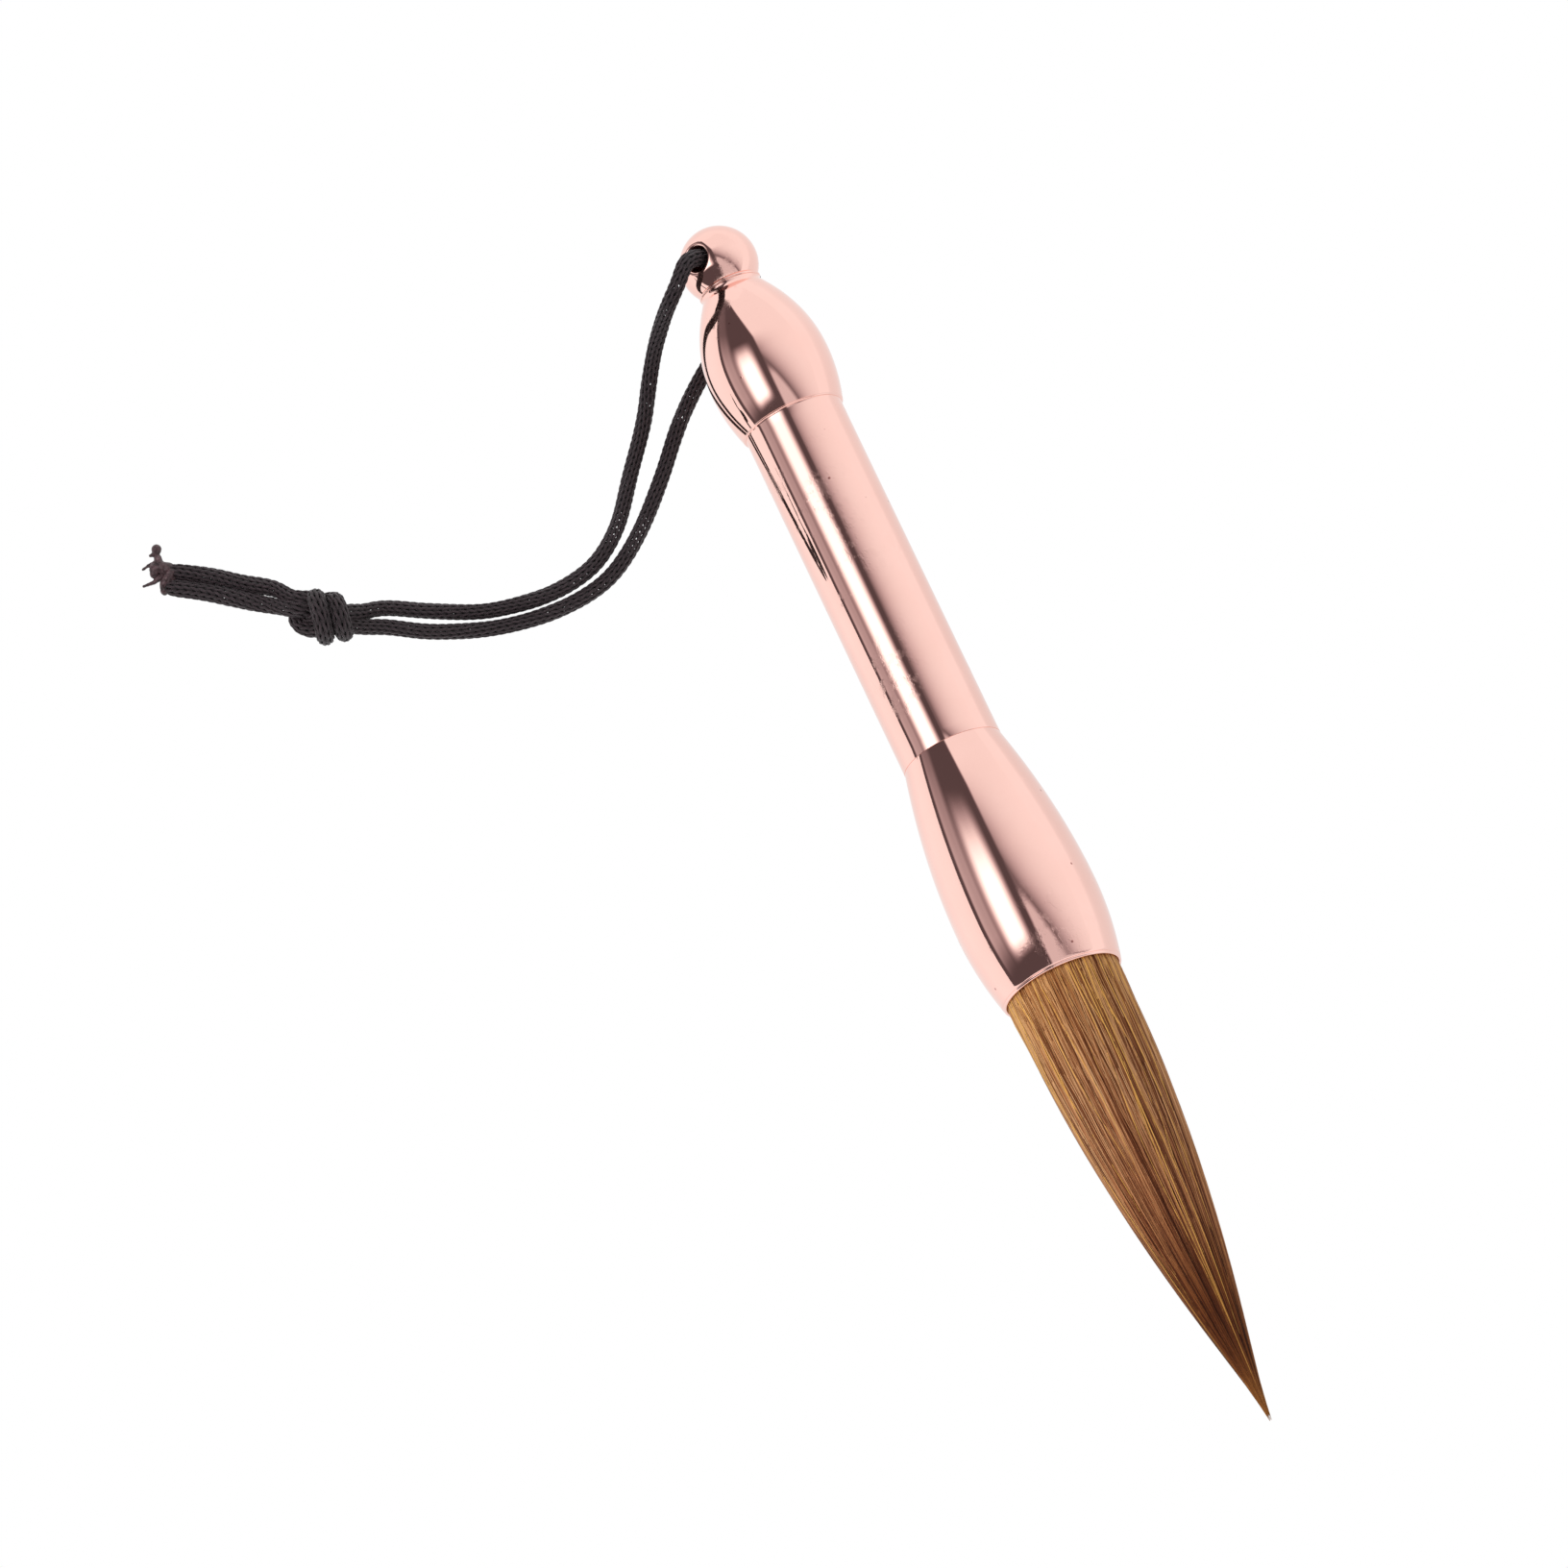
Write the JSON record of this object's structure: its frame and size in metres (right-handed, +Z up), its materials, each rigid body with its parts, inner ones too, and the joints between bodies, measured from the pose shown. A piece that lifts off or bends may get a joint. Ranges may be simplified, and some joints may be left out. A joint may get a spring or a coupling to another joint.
{
  "type": "calligraphy brush",
  "caption": "Calligraphy brush with a polished egg-capped metal handle, a flared grip, a pointed brown hair tuft and a knotted braided hanging cord.",
  "frame": {"origin": "on the surface the brush lies on, below the middle of the brush's length, with the axis level above it", "axes": "Y runs along the brush with the hair's tip towards -Y and the ball towards +Y, Z is up, and the cord lies towards -X"},
  "size_m": [0.0632, 0.12, 0.013],
  "materials": {
    "plated_metal": "polished rose-gold plate",
    "inner_metal": "turned, unplated",
    "resin": "hardened resin",
    "hair": "fine animal hair",
    "hair_root": "glued animal hair",
    "thread": "waxed thread",
    "cord": "braided cord"
  },
  "bodies": {
    "handle": {"finial_ball": "plated_metal", "cap_shell": "plated_metal", "cap_coupling": "inner_metal", "stem_tube": "plated_metal", "grip_coupling": "inner_metal", "grip_shell": "plated_metal", "resin_plug": "resin", "hair_root": "hair_root", "root_binding": "thread"},
    "tuft": {"hair_core": "hair", "hair_mantle": "hair"},
    "cord": {"cord_loop": "cord", "cord_knot": "cord", "cord_tail_a": "cord", "cord_tail_b": "cord", "cord_end_a": "cord", "cord_end_b": "cord"}
  },
  "joints": [
    {"name": "tuft_bend", "type": "hinge", "parent": "handle", "child": "tuft", "pos_m": [0, -0.02, 0.0065], "axis": [0, 0, 1], "range_deg": [-35, 35], "stiffness_Nm_per_rad": 0.02},
    {"name": "cord_swing", "type": "hinge", "parent": "handle", "child": "cord", "pos_m": [0, 0.05656, 0.0065], "axis": [-0.6283, 0.1564, 0.7621], "range_deg": [-150, 0]}
  ]
}
